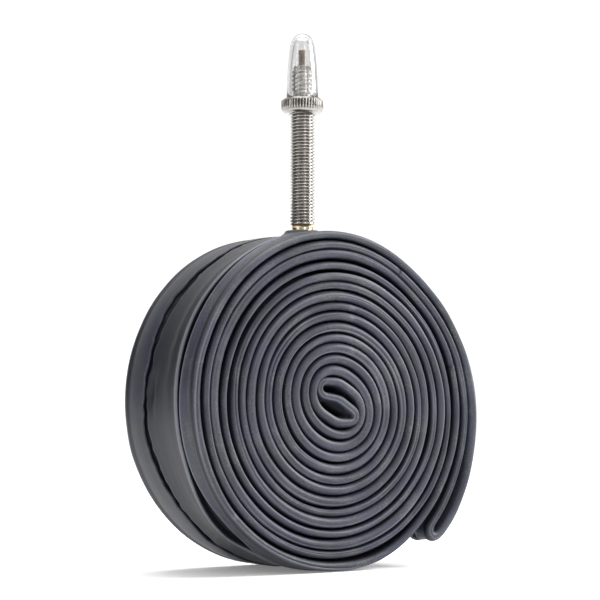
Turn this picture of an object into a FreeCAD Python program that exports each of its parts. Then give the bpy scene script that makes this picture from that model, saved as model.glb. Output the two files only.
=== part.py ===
"""Bicycle inner tube, flattened and rolled up for storage, with its threaded valve.

The closed rubber tube lies flat, two walls thick, and is wound as a double spiral from an
S-shaped core. Its outer end is a fold low on the right. The valve stands on the outermost turn,
over the middle of the roll: a threaded stem with a rim nut, a removable core with its pin, seal
and lock nut, and a clear dust cap.

Frame: +Z is up along the valve, the roll's axis is Y, its front face looks along -Y, and the
origin is the middle of the base. All lengths are in millimetres.
"""

import FreeCAD, Part
import math
import os

from FreeCAD import Vector

# ---- rolled tube: driving dimensions
STRAND_THICKNESS = 2.3      # flattened tube, two walls and the slit between them
STRAND_PITCH = 2.62         # from one strand of the roll to the next
CORE_RADIUS = 5.1           # centreline of the innermost half turn
OUTER_HALF_TURN = 14        # number of the outermost upper half turn, counted from 0 at the core
ROLL_WIDTH = 32.0           # along Y, the width of the folded flat tube
EDGE_ROUNDING = 0.7         # of the strand's front and back edges
CHAMBER_HEIGHT = 0.6        # air slit inside the flattened tube
CHAMBER_MARGIN = 1.6        # rubber between the slit and the strand's edges
WIND_ANGLE = -30.0          # degrees, direction of the line on which the half turns meet
FOLD_LEG_RADIUS = 47.0      # the outer leg runs a little straighter than the roll
FOLD_LEG_START, FOLD_LEG_END = 8.0, -47.0   # degrees, where that leg begins and where it folds
BASE_SINK = 0.7             # how far the roll's weight flattens its lowest strand

# ---- valve: driving dimensions
PAD_TOP_RADIUS, PAD_BASE_RADIUS, PAD_HEIGHT = 4.25, 5.0, 1.06
FOOT_RADIUS, FOOT_HEIGHT = 3.6, 0.6
SPIGOT_RADIUS, SPIGOT_DEPTH = 1.9, 0.9
COLLAR_RADIUS, COLLAR_HEIGHT = 2.65, 1.5
STEM_RADIUS, STEM_ROOT, STEM_PITCH = 3.0, 2.55, 0.8
STEM_THREAD_LENGTH = 31.0
SCREW_BORE = 1.93           # the stem's bore around the core's own thread
SEAL_BORE, AIR_BORE = 1.75, 1.3
SCREW_BORE_DEPTH, SEAL_BORE_DEPTH = 7.0, 21.4

NUT_RADIUS, NUT_BORE, NUT_HEIGHT, NUT_FLUTES = 5.2, 3.05, 3.8, 40
CORE_THREAD_RADIUS, CORE_THREAD_ROOT, CORE_THREAD_PITCH = 2.6, 2.2, 1.058
CORE_HEAD_HEIGHT = 7.1
CORE_FLATS = 4.5            # across the two wrench flats
CORE_SCREW_RADIUS, CORE_SCREW_ROOT, CORE_SCREW_PITCH = 1.88, 1.6, 0.5
CORE_BORE = 1.06
CORE_TUBE_RADIUS = 1.45
GASKET_OUTER, GASKET_INNER = 1.71, 1.2
PIN_THREAD_RADIUS, PIN_THREAD_ROOT, PIN_PITCH = 0.98, 0.78, 0.4
PIN_SHANK_RADIUS = 0.6
PIN_TIP_ABOVE_LOCK_NUT = 4.0
LOCK_NUT_RADIUS, LOCK_NUT_BORE, LOCK_NUT_HEIGHT, LOCK_NUT_FLUTES = 2.15, 1.02, 1.15, 22
CAP_HEIGHT, CAP_BORE = 16.2, 2.75
CLEARANCE = 0.05            # between pieces that move past each other end to end

# ---- worked out from those
HALF_STRAND = STRAND_THICKNESS / 2
HALF_WIDTH = ROLL_WIDTH / 2


def half_turn_radius(number):
    """Centreline radius of the upper or lower half turn of that number."""
    return CORE_RADIUS + number * STRAND_PITCH


WIND_X = math.cos(math.radians(WIND_ANGLE))
WIND_Z = math.sin(math.radians(WIND_ANGLE))
LOWER_CENTRE = (-STRAND_PITCH * WIND_X, -STRAND_PITCH * WIND_Z)
ROLL_CENTRE_Z = half_turn_radius(OUTER_HALF_TURN - 1) + HALF_STRAND - BASE_SINK - LOWER_CENTRE[1]
ROLL_TOP_RADIUS = half_turn_radius(OUTER_HALF_TURN) + HALF_STRAND
ROLL_TOP = ROLL_CENTRE_Z + ROLL_TOP_RADIUS
PAD_TOP = ROLL_TOP + PAD_HEIGHT
THREAD_START = PAD_TOP + COLLAR_HEIGHT
STEM_TOP = THREAD_START + STEM_THREAD_LENGTH
NUT_BASE = STEM_TOP + 0.2 - NUT_HEIGHT
CAP_BASE = STEM_TOP + 0.3
HEAD_TOP = STEM_TOP + CORE_HEAD_HEIGHT
LOCK_NUT_BASE = HEAD_TOP + CLEARANCE
LOCK_NUT_TOP = LOCK_NUT_BASE + LOCK_NUT_HEIGHT
PIN_TIP = LOCK_NUT_TOP + PIN_TIP_ABOVE_LOCK_NUT
CORE_FOOT = STEM_TOP - 16.2
GASKET_TOP = STEM_TOP - 5.4
GASKET_BASE = GASKET_TOP - 1.2


# ---- helpers
def arc_edge(cx, cz, radius, start, end):
    """An arc in the XZ plane at the front face, from one angle to another."""
    spots = [start, (start + end) / 2, end]
    return Part.Arc(*[
        Vector(cx + radius * math.cos(u), -HALF_WIDTH, cz + radius * math.sin(u)) for u in spots
    ]).toShape()


def turned(profile):
    """A solid of revolution about the Z axis from a closed (radius, z) outline."""
    points = [Vector(r, 0, z) for r, z in profile]
    face = Part.Face(Part.makePolygon(points + points[:1]))
    return face.revolve(Vector(0, 0, 0), Vector(0, 0, 1), 360)


def rod(radius, low, high):
    """A plain cylinder on the Z axis."""
    return Part.makeCylinder(radius, high - low, Vector(0, 0, low))


def thread_outline(crest, root, pitch, low, high):
    """(radius, z) points of ridges a pitch apart, from low to high, starting and ending at the root."""
    land = 0.16 * pitch
    turns = int((high - low) / pitch)
    outline = [(root, low)]
    for turn in range(turns):
        middle = low + (turn + 0.5) * pitch
        outline += [
            (root, middle - pitch / 2 + land / 2),
            (crest, middle - land / 2),
            (crest, middle + land / 2),
            (root, middle + pitch / 2 - land / 2),
        ]
    return outline + [(root, high)]


def knurled_disc(radius, depth, flutes, low, high):
    """A disc with straight V-shaped flutes round its rim."""
    points = []
    for flute in range(flutes):
        for share, r in ((0.0, radius), (0.45, radius), (0.72, radius - depth)):
            angle = 2 * math.pi * (flute + share) / flutes
            points.append(Vector(r * math.cos(angle), r * math.sin(angle), low))
    face = Part.Face(Part.makePolygon(points + points[:1]))
    return face.extrude(Vector(0, 0, high - low))


# ---- the rolled tube
def strand_centreline():
    """The tube's closed centreline as arcs (cx, cz, radius, start angle, end angle).

    It leaves the middle of the S, winds outward clockwise as half circles about two centres one
    strand apart, turns back in the fold, and winds inward between its own turns.
    """
    wind = math.radians(WIND_ANGLE)
    small = (CORE_RADIUS - STRAND_PITCH / 2) / 2
    heads = [
        (LOWER_CENTRE[0] / 2 + side * small * WIND_X, LOWER_CENTRE[1] / 2 + side * small * WIND_Z)
        for side in (-1, 1)
    ]
    arcs = [(*heads[0], small, wind, wind - math.pi)]
    for number in range(OUTER_HALF_TURN):
        if number % 2 == 0:
            arcs.append((0.0, 0.0, half_turn_radius(number), wind + math.pi, wind))
        else:
            arcs.append((*LOWER_CENTRE, half_turn_radius(number), wind, wind - math.pi))
    arcs += fold_arcs(wind)
    for number in range(OUTER_HALF_TURN - 1, -1, -1):
        if number % 2 == 1:
            arcs.append((0.0, 0.0, half_turn_radius(number), wind, wind + math.pi))
        else:
            arcs.append((*LOWER_CENTRE, half_turn_radius(number), wind + math.pi, wind + 2 * math.pi))
    return arcs + [(*heads[1], small, wind, wind + math.pi)]


def fold_arcs(wind):
    """The outermost half turn and the fold: outer leg, tight turn and inner leg, all tangent."""
    outer = half_turn_radius(OUTER_HALF_TURN)
    leg_start, leg_end = math.radians(FOLD_LEG_START), math.radians(FOLD_LEG_END)
    leg_x = (outer - FOLD_LEG_RADIUS) * math.cos(leg_start)
    leg_z = (outer - FOLD_LEG_RADIUS) * math.sin(leg_start)
    end = Vector(leg_x + FOLD_LEG_RADIUS * math.cos(leg_end), 0, leg_z + FOLD_LEG_RADIUS * math.sin(leg_end))
    inward = Vector(-math.cos(leg_end), 0, -math.sin(leg_end))
    centre = Vector(LOWER_CENTRE[0], 0, LOWER_CENTRE[1])
    reach = end - centre
    turn_radius = (reach.dot(reach) - outer * outer) / (2 * (outer - reach.dot(inward)))
    turn = end + inward * turn_radius
    meet = math.atan2(turn.z - centre.z, turn.x - centre.x)
    return [
        (0.0, 0.0, outer, wind + math.pi, leg_start),
        (leg_x, leg_z, FOLD_LEG_RADIUS, leg_start, leg_end),
        (turn.x, turn.z, turn_radius, leg_end, meet - math.pi),
        (*LOWER_CENTRE, outer, meet, wind),
    ]


def offset_wire(distance):
    """The centreline moved sideways by that distance, to the left of the way it runs."""
    edges = []
    for cx, cz, radius, start, end in strand_centreline():
        clockwise = end < start
        moved = radius + distance if clockwise else radius - distance
        edges.append(arc_edge(cx, cz, moved, start, end))
    return Part.Wire(edges)


def band(half_thickness, margin):
    """The strand's band of that half thickness, as a solid that stops short of both faces by margin."""
    faces = [Part.Face(offset_wire(side * half_thickness)) for side in (1, -1)]
    large, small = sorted(faces, key=lambda face: -face.Area)
    solid = large.cut(small).extrude(Vector(0, ROLL_WIDTH - 2 * margin, 0))
    solid.translate(Vector(0, margin, ROLL_CENTRE_Z))
    return solid


def make_tube():
    """The rolled tube with its air chamber, the hole for the valve and the flattened base."""
    solid = band(HALF_STRAND, 0.0)
    rim = [
        edge for edge in solid.Edges
        if all(abs(abs(vertex.Y) - HALF_WIDTH) < 1e-6 for vertex in edge.Vertexes)
        and abs(edge.Vertexes[0].Y - edge.Vertexes[-1].Y) < 1e-6
    ]
    solid = solid.makeFillet(EDGE_ROUNDING, rim)
    solid = solid.cut(band(CHAMBER_HEIGHT / 2, CHAMBER_MARGIN))
    solid = solid.cut(rod(SPIGOT_RADIUS, ROLL_TOP - HALF_STRAND, ROLL_TOP + 1))
    floor = Part.makeBox(120, 60, 10, Vector(-60, -30, -10))
    return solid.cut(floor)


# ---- the valve's fixed pieces
def stem_outline():
    """Outside of the stem from its spigot to its top, as (radius, z) points."""
    return [
        (SPIGOT_RADIUS, ROLL_TOP - SPIGOT_DEPTH),
        (SPIGOT_RADIUS, ROLL_TOP),
        (FOOT_RADIUS, ROLL_TOP),
        (FOOT_RADIUS, ROLL_TOP + FOOT_HEIGHT),
        (COLLAR_RADIUS, ROLL_TOP + FOOT_HEIGHT),
        (COLLAR_RADIUS, THREAD_START),
        *thread_outline(STEM_RADIUS, STEM_ROOT, STEM_PITCH, THREAD_START, STEM_TOP),
    ]


def make_stem():
    """Threaded brass stem with its foot, and the stepped bore that holds the core."""
    bottom = ROLL_TOP - SPIGOT_DEPTH
    bore = [
        (SCREW_BORE, STEM_TOP),
        (SCREW_BORE, STEM_TOP - SCREW_BORE_DEPTH),
        (SEAL_BORE, STEM_TOP - SCREW_BORE_DEPTH - 0.2),
        (SEAL_BORE, STEM_TOP - SEAL_BORE_DEPTH),
        (AIR_BORE, STEM_TOP - SEAL_BORE_DEPTH - 0.5),
        (AIR_BORE, bottom),
    ]
    return turned(stem_outline() + bore)


def make_pad():
    """Rubber boss vulcanised round the stem's foot, shaped underneath to the roll."""
    low = ROLL_TOP - 0.6
    slope = (PAD_BASE_RADIUS - PAD_TOP_RADIUS) / PAD_HEIGHT
    foot_top = ROLL_TOP + FOOT_HEIGHT
    body = turned([
        (FOOT_RADIUS, low),
        (PAD_BASE_RADIUS + slope * 0.6, low),
        (PAD_TOP_RADIUS + slope * 0.2, PAD_TOP - 0.2),
        (PAD_TOP_RADIUS - 0.15, PAD_TOP),
        (COLLAR_RADIUS, PAD_TOP),
        (COLLAR_RADIUS, foot_top),
        (FOOT_RADIUS, foot_top),
    ])
    roll = Part.makeCylinder(
        ROLL_TOP_RADIUS, 40, Vector(0, -20, ROLL_CENTRE_Z), Vector(0, 1, 0)
    )
    return body.cut(roll)


# ---- the valve's moving pieces
def make_rim_nut():
    """Round knurled nut: a fluted band with a plain lip above and a bevelled skirt below."""
    skirt, lip = 1.1, 0.4
    top = NUT_BASE + NUT_HEIGHT
    ring = turned([
        (NUT_BORE, NUT_BASE + 0.3),
        (NUT_BORE + 0.3, NUT_BASE),
        (NUT_RADIUS - 1.5, NUT_BASE),
        (NUT_RADIUS - 0.75, NUT_BASE + 0.45),
        (NUT_RADIUS - 0.35, NUT_BASE + skirt),
        (NUT_RADIUS - 0.35, top - lip),
        (NUT_RADIUS - 0.9, top),
        (NUT_BORE + 0.3, top),
        (NUT_BORE, top - 0.3),
    ])
    band_solid = knurled_disc(NUT_RADIUS, 0.3, NUT_FLUTES, NUT_BASE + skirt, top - lip)
    return ring.fuse(band_solid.cut(rod(NUT_RADIUS - 0.6, 0, 200))).removeSplitter()


def make_core():
    """Removable core: threaded head with wrench flats, screw, gasket groove and lower tube."""
    outline = [
        (CORE_BORE, HEAD_TOP),
        (CORE_THREAD_ROOT - 0.3, HEAD_TOP),
        *reversed(thread_outline(
            CORE_THREAD_RADIUS, CORE_THREAD_ROOT, CORE_THREAD_PITCH, STEM_TOP + 0.5, HEAD_TOP - 0.2
        )),
        (CORE_THREAD_RADIUS, STEM_TOP + 0.5),
        (CORE_THREAD_RADIUS, STEM_TOP + CLEARANCE),
        *reversed(thread_outline(
            CORE_SCREW_RADIUS, CORE_SCREW_ROOT, CORE_SCREW_PITCH, STEM_TOP - 4.5, STEM_TOP + CLEARANCE
        )),
        (CORE_SCREW_ROOT, GASKET_TOP),
        (GASKET_INNER, GASKET_TOP),
        (GASKET_INNER, GASKET_BASE),
        (CORE_TUBE_RADIUS + 0.1, GASKET_BASE),
        (CORE_TUBE_RADIUS + 0.1, GASKET_BASE - 0.6),
        (CORE_TUBE_RADIUS, GASKET_BASE - 0.7),
        (CORE_TUBE_RADIUS, CORE_FOOT + 0.3),
        (CORE_TUBE_RADIUS - 0.2, CORE_FOOT),
        (CORE_BORE, CORE_FOOT),
    ]
    core = turned(outline)
    for side in (1, -1):
        flat = Part.makeBox(3, 8, CORE_HEAD_HEIGHT, Vector(CORE_FLATS / 2, -4, STEM_TOP + 1.6))
        if side < 0:
            flat.rotate(Vector(0, 0, 0), Vector(0, 0, 1), 180)
        core = core.cut(flat)
    return core


def make_gasket():
    """Sealing ring in the core's groove."""
    return turned([
        (GASKET_INNER, GASKET_BASE),
        (GASKET_OUTER - 0.15, GASKET_BASE),
        (GASKET_OUTER, GASKET_BASE + 0.2),
        (GASKET_OUTER, GASKET_TOP - 0.2),
        (GASKET_OUTER - 0.15, GASKET_TOP),
        (GASKET_INNER, GASKET_TOP),
    ])


SEAL_TOP = CORE_FOOT - 0.02
SEAL_BASE = SEAL_TOP - 1.0
PIN_FOOT_BASE = SEAL_BASE - 0.7


def make_pin():
    """Valve pin: threaded upper end with a peened tip, plain shank, riveted lower end."""
    thread_low = LOCK_NUT_BASE - 2.4
    return turned([
        (0, PIN_TIP),
        (0.7, PIN_TIP),
        (PIN_THREAD_RADIUS + 0.02, PIN_TIP - 0.12),
        (PIN_THREAD_RADIUS + 0.02, PIN_TIP - 0.5),
        (PIN_THREAD_ROOT, PIN_TIP - 0.6),
        *reversed(thread_outline(
            PIN_THREAD_RADIUS, PIN_THREAD_ROOT, PIN_PITCH, thread_low, PIN_TIP - 0.7
        )),
        (PIN_SHANK_RADIUS, thread_low - 0.3),
        (PIN_SHANK_RADIUS, PIN_FOOT_BASE - 0.1),
        (PIN_SHANK_RADIUS - 0.2, PIN_FOOT_BASE - 0.3),
        (0, PIN_FOOT_BASE - 0.3),
    ])


def make_pin_seal():
    """Soft ring that closes on the core's lower end."""
    return turned([
        (PIN_SHANK_RADIUS, SEAL_BASE),
        (1.3, SEAL_BASE),
        (1.4, SEAL_BASE + 0.15),
        (1.35, SEAL_TOP - 0.1),
        (1.25, SEAL_TOP),
        (PIN_SHANK_RADIUS, SEAL_TOP),
    ])


def make_pin_foot():
    """Brass collar under the seal, held by the pin's riveted end."""
    return turned([
        (PIN_SHANK_RADIUS, PIN_FOOT_BASE),
        (1.0, PIN_FOOT_BASE),
        (1.2, PIN_FOOT_BASE + 0.2),
        (1.2, SEAL_BASE),
        (PIN_SHANK_RADIUS, SEAL_BASE),
    ])


def make_lock_nut():
    """Small fluted nut that pulls the pin shut."""
    disc = knurled_disc(
        LOCK_NUT_RADIUS, 0.16, LOCK_NUT_FLUTES, LOCK_NUT_BASE, LOCK_NUT_TOP
    )
    edge = turned([
        (LOCK_NUT_BORE, LOCK_NUT_BASE),
        (LOCK_NUT_RADIUS - 0.12, LOCK_NUT_BASE),
        (LOCK_NUT_RADIUS + 0.02, LOCK_NUT_BASE + 0.14),
        (LOCK_NUT_RADIUS + 0.02, LOCK_NUT_TOP - 0.2),
        (LOCK_NUT_RADIUS - 0.18, LOCK_NUT_TOP),
        (LOCK_NUT_BORE, LOCK_NUT_TOP),
    ])
    return disc.common(edge)


def make_cap():
    """Clear dust cap: slightly tapered outside, rounded top, bored to clear the core and pin."""
    apex = CAP_BASE + CAP_HEIGHT
    outside = [
        Vector(3.9, 0, CAP_BASE),
        Vector(3.65, 0, CAP_BASE + 7.1),
        Vector(3.3, 0, CAP_BASE + 11.0),
    ]
    side = Part.BSplineCurve()
    side.interpolate(outside)
    dome = Part.BSplineCurve()
    dome.interpolate(
        [outside[-1], Vector(2.72, 0, CAP_BASE + 14.0), Vector(1.6, 0, apex - 0.62), Vector(0, 0, apex)],
        InitialTangent=Vector(-0.11, 0, 1), FinalTangent=Vector(-1, 0, 0),
    )
    cavity_top = apex - 2.0
    inner = [
        Vector(0, 0, apex),
        Vector(0, 0, cavity_top),
        Vector(1.3, 0, cavity_top - 0.35),
        Vector(2.0, 0, cavity_top - 1.6),
        Vector(2.35, 0, LOCK_NUT_BASE + 0.3),
        Vector(CAP_BORE, 0, LOCK_NUT_BASE - 0.4),
        Vector(CAP_BORE, 0, CAP_BASE),
        outside[0],
    ]
    edges = [side.toShape(), dome.toShape(), *Part.makePolygon(inner).Edges]
    face = Part.Face(Part.Wire(Part.__sortEdges__(edges)))
    return face.revolve(Vector(0, 0, 0), Vector(0, 0, 1), 360)


MAKERS = {
    "tube": make_tube,
    "valve_pad": make_pad,
    "valve_stem": make_stem,
    "rim_nut": make_rim_nut,
    "valve_core": make_core,
    "core_gasket": make_gasket,
    "valve_pin": make_pin,
    "pin_seal": make_pin_seal,
    "pin_foot": make_pin_foot,
    "lock_nut": make_lock_nut,
    "dust_cap": make_cap,
}

os.makedirs("parts", exist_ok=True)
for name, maker in MAKERS.items():
    shape = maker()
    solids = shape.Solids
    assert shape.isValid() and len(solids) == 1, f"{name}: {len(solids)} solids"
    box = shape.optimalBoundingBox(False, False)
    span = f"x {box.XMin:.2f} to {box.XMax:.2f}, z {box.ZMin:.2f} to {box.ZMax:.2f}"
    print(f"{name}: {shape.Volume:.1f} mm3, {span}")
    solids[0].exportStep(f"parts/{name}.step")
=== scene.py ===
"""Looks of a rolled bicycle inner tube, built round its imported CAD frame.

The rubber tube lies flat with both margins folded over its outside, and is wound as a double
spiral from an S-shaped core. Its valve stands on the outermost turn: a nickel-plated threaded
stem with a knurled rim nut, the core's threaded head with its pin, and a clear dust cap.

Lengths are worked out in millimetres and written into the meshes in metres.
"""

import logging
import math
from dataclasses import dataclass, field
from enum import Enum
from functools import partial

import bpy
import numpy as np
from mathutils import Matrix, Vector


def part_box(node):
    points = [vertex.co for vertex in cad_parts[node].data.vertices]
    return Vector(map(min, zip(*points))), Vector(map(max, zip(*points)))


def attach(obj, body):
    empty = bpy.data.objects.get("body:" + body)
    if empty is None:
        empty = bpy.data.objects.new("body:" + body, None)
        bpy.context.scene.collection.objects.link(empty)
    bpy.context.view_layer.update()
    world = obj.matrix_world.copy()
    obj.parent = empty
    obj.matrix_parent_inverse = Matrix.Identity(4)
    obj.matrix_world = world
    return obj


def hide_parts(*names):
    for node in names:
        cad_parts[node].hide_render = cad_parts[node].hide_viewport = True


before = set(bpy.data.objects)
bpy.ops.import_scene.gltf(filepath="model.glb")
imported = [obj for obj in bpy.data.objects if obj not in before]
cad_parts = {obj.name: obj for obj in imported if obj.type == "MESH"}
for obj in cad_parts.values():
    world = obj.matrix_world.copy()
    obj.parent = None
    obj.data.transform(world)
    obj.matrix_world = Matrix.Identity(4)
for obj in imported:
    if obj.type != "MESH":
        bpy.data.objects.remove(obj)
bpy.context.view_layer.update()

log = logging.getLogger("inner_tube")
MM = 0.001
KNOT_COUNT = 4096       # random knots before a wandering line repeats
KNOT_LEAD = 1000.0      # keeps the places along such a line above zero


# ---------------------------------------------------------------- numbers and noise
def smoothstep(low: float, high: float, value: np.ndarray) -> np.ndarray:
    """Rises smoothly from 0 at low to 1 at high.

    Args:
        low: where the rise starts.
        high: where it ends.
        value: where to read it.

    Returns:
        3 t squared minus 2 t cubed, with t the share of the way, held between 0 and 1.
    """
    share = np.clip((value - low) / (high - low), 0.0, 1.0)
    return share * share * (3.0 - 2.0 * share)


def bump_at(centre: float, width: float, value: np.ndarray) -> np.ndarray:
    """A bell: e to the minus square of the distance from centre over width."""
    return np.exp(-(((value - centre) / width) ** 2))


def wander(along: np.ndarray, step: float, seed: int, sharp: bool = False) -> np.ndarray:
    """A repeatable random line between -1 and 1.

    Args:
        along: positions to read it at.
        step: distance between its knots.
        seed: picks the line.
        sharp: joins the knots with straight pieces in place of smooth ones.

    Returns:
        One value per position: knots drawn at random, blended with a smooth step between them.
    """
    knots = np.random.default_rng(seed).uniform(-1.0, 1.0, KNOT_COUNT)
    place = np.asarray(along) / step + KNOT_LEAD
    cell = np.floor(place).astype(int)
    share = place - cell
    if not sharp:
        share = share * share * (3.0 - 2.0 * share)
    return knots[cell % KNOT_COUNT] * (1.0 - share) + knots[(cell + 1) % KNOT_COUNT] * share


def wrap_degrees(angle: np.ndarray) -> np.ndarray:
    """The same angles between -180 and 180 degrees."""
    return (np.asarray(angle) + 180.0) % 360.0 - 180.0


def bearing_bump(bearing: float, width: float, angle: np.ndarray) -> np.ndarray:
    """A bell round a direction in degrees, whichever way round it is reached."""
    return bump_at(0.0, width, wrap_degrees(angle - bearing))


# ---------------------------------------------------------------- meshes
class Ends(Enum):
    """How the two ends of a swept grid are closed."""

    JOINED = "joined"
    CAPPED = "capped"


def grid_object(
    name: str,
    points: np.ndarray,
    ends: Ends,
    layers: dict[str, np.ndarray] | None = None,
) -> bpy.types.Object:
    """Makes an object from a grid of points whose second parameter closes on itself.

    Args:
        name: the piece's name.
        points: rows by columns by 3, in millimetres.
        ends: what happens past the first and last rows.
        layers: named numbers, one per grid point, kept as attributes.

    Returns:
        The smooth-shaded object, at the origin, with its place in its mesh.
    """
    rows, columns = points.shape[:2]
    row = np.arange(rows if ends is Ends.JOINED else rows - 1)[:, None]
    column = np.arange(columns)[None, :]
    next_row, next_column = (row + 1) % rows, (column + 1) % columns
    corners = [
        row * columns + column,
        row * columns + next_column,
        next_row * columns + next_column,
        next_row * columns + column,
    ]
    quads = np.stack([np.broadcast_to(corner, (len(row), columns)) for corner in corners], -1).reshape(-1, 4)
    places = points.reshape(-1, 3) * MM
    faces = [quads]
    if ends is Ends.CAPPED:
        hubs = np.array([points[0].mean(axis=0), points[-1].mean(axis=0)]) * MM
        places = np.vstack([places, hubs])
        around = np.arange(columns)
        after = (around + 1) % columns
        last = (rows - 1) * columns
        faces.append(np.stack([after, around, np.full(columns, rows * columns)], -1))
        faces.append(np.stack([last + around, last + after, np.full(columns, rows * columns + 1)], -1))
    if enclosed_volume(places, faces) < 0.0:
        faces = [face[:, ::-1] for face in faces]
    mesh = mesh_from_arrays(name, places, faces)
    for label, values in (layers or {}).items():
        filled = np.zeros(len(places), np.float32)
        filled[: rows * columns] = np.broadcast_to(values, (rows, columns)).reshape(-1)
        mesh.attributes.new(label, "FLOAT", "POINT").data.foreach_set("value", filled)
    return new_object(name, mesh)


def enclosed_volume(places: np.ndarray, faces: list[np.ndarray]) -> float:
    """Six times the volume inside a closed mesh.

    Args:
        places: points by 3.
        faces: arrays of corner numbers, one row a face.

    Returns:
        The sum over the faces' triangles of their triple products, below zero if they point inwards.
    """
    total = 0.0
    for face in faces:
        for corner in range(1, face.shape[1] - 1):
            first, second, third = places[face[:, 0]], places[face[:, corner]], places[face[:, corner + 1]]
            total += float(np.einsum("ij,ij->", first, np.cross(second, third)))
    return total


def mesh_from_arrays(name: str, places: np.ndarray, faces: list[np.ndarray]) -> bpy.types.Mesh:
    """Fills a mesh from arrays.

    Args:
        name: the mesh's name.
        places: points by 3, in metres.
        faces: arrays of corner numbers, one row a face.

    Returns:
        The mesh, its four-cornered faces smooth and its end caps' triangles flat.
    """
    mesh = bpy.data.meshes.new(name)
    corner_lists = [face.reshape(-1) for face in faces]
    counts = np.concatenate([np.full(len(face), face.shape[1]) for face in faces])
    starts = np.concatenate([[0], np.cumsum(counts)[:-1]])
    mesh.vertices.add(len(places))
    mesh.vertices.foreach_set("co", places.astype(np.float32).ravel())
    mesh.loops.add(int(counts.sum()))
    mesh.loops.foreach_set("vertex_index", np.concatenate(corner_lists).astype(np.int32))
    mesh.polygons.add(len(counts))
    mesh.polygons.foreach_set("loop_start", starts.astype(np.int32))
    mesh.polygons.foreach_set("loop_total", counts.astype(np.int32))
    mesh.update(calc_edges=True)
    mesh.validate()
    mesh.polygons.foreach_set("use_smooth", counts == 4)
    return mesh


def new_object(name: str, mesh: bpy.types.Mesh) -> bpy.types.Object:
    """Links a mesh into the scene.

    Args:
        name: the object's name.
        mesh: its mesh.

    Returns:
        The object, at the origin.
    """
    made = bpy.data.objects.new(name, mesh)
    bpy.context.scene.collection.objects.link(made)
    return made


def turned_surface(
    name: str,
    profile: np.ndarray,
    segments: int,
    radial: np.ndarray | None = None,
    groove: np.ndarray | float = 0.0,
) -> bpy.types.Object:
    """Turns a closed outline about the Z axis.

    Args:
        name: the piece's name.
        profile: corners by 2, radius and height in millimetres, the outside met going up.
        segments: steps round the axis.
        radial: optional change of radius, segments by corners.
        groove: how deep in a thread or flute each point lies, 0 to 1.

    Returns:
        The object. A corner at radius r and height z becomes (r cos a, r sin a, z) at each angle a.
    """
    angle = np.linspace(0.0, 2.0 * np.pi, segments, endpoint=False)[:, None]
    radius = np.broadcast_to(profile[None, :, 0], (segments, len(profile)))
    if radial is not None:
        radius = radius + radial
    height = np.broadcast_to(profile[None, :, 1], radius.shape)
    points = np.stack([radius * np.cos(angle), radius * np.sin(angle), height], -1)
    return grid_object(name, points, Ends.JOINED, {"groove": groove})


# ---------------------------------------------------------------- finishes
def linear_colour(code: str) -> tuple[float, float, float, float]:
    """Turns an sRGB colour to linear.

    Args:
        code: # and six hex digits.

    Returns:
        Linear red, green and blue by the sRGB curve, and 1 for alpha.
    """
    shares = [int(code[place : place + 2], 16) / 255.0 for place in (1, 3, 5)]
    linear = [share / 12.92 if share <= 0.04045 else ((share + 0.055) / 1.055) ** 2.4 for share in shares]
    return (linear[0], linear[1], linear[2], 1.0)


def add_node(
    tree: bpy.types.NodeTree,
    kind: str,
    settings: dict[str, object] | None = None,
    **links: object,
) -> bpy.types.Node:
    """Adds a node, sets its properties and its sockets.

    Args:
        tree: the node tree.
        kind: the node's type name.
        settings: property names and values.
        **links: socket names, with _ for a space, or in0, in1 for sockets by number; a value is
            another node's output socket or a plain setting.

    Returns:
        The node.
    """
    node = tree.nodes.new(kind)
    for label, value in (settings or {}).items():
        setattr(node, label, value)
    for label, value in links.items():
        by_number = label.startswith("in") and label[2:].isdigit()
        socket = node.inputs[int(label[2:])] if by_number else node.inputs[label.replace("_", " ")]
        if isinstance(value, bpy.types.NodeSocket):
            tree.links.new(value, socket)
        else:
            socket.default_value = value
    return node


def new_material(name: str) -> tuple[bpy.types.Material, bpy.types.NodeTree, bpy.types.Node]:
    """Makes a node material with one Principled shader wired to its output.

    Args:
        name: the material's name.

    Returns:
        The material, its node tree and its shader.
    """
    material = bpy.data.materials.new(name)
    material.use_nodes = True
    tree = material.node_tree
    tree.nodes.clear()
    shader = add_node(tree, "ShaderNodeBsdfPrincipled")
    add_node(tree, "ShaderNodeOutputMaterial", Surface=shader.outputs[0])
    return material, tree, shader


def wire(tree: bpy.types.NodeTree, shader: bpy.types.Node, outputs: dict[str, bpy.types.NodeSocket]) -> None:
    """Links sockets to the shader's own, by name."""
    for label, socket in outputs.items():
        tree.links.new(socket, shader.inputs[label])


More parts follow.
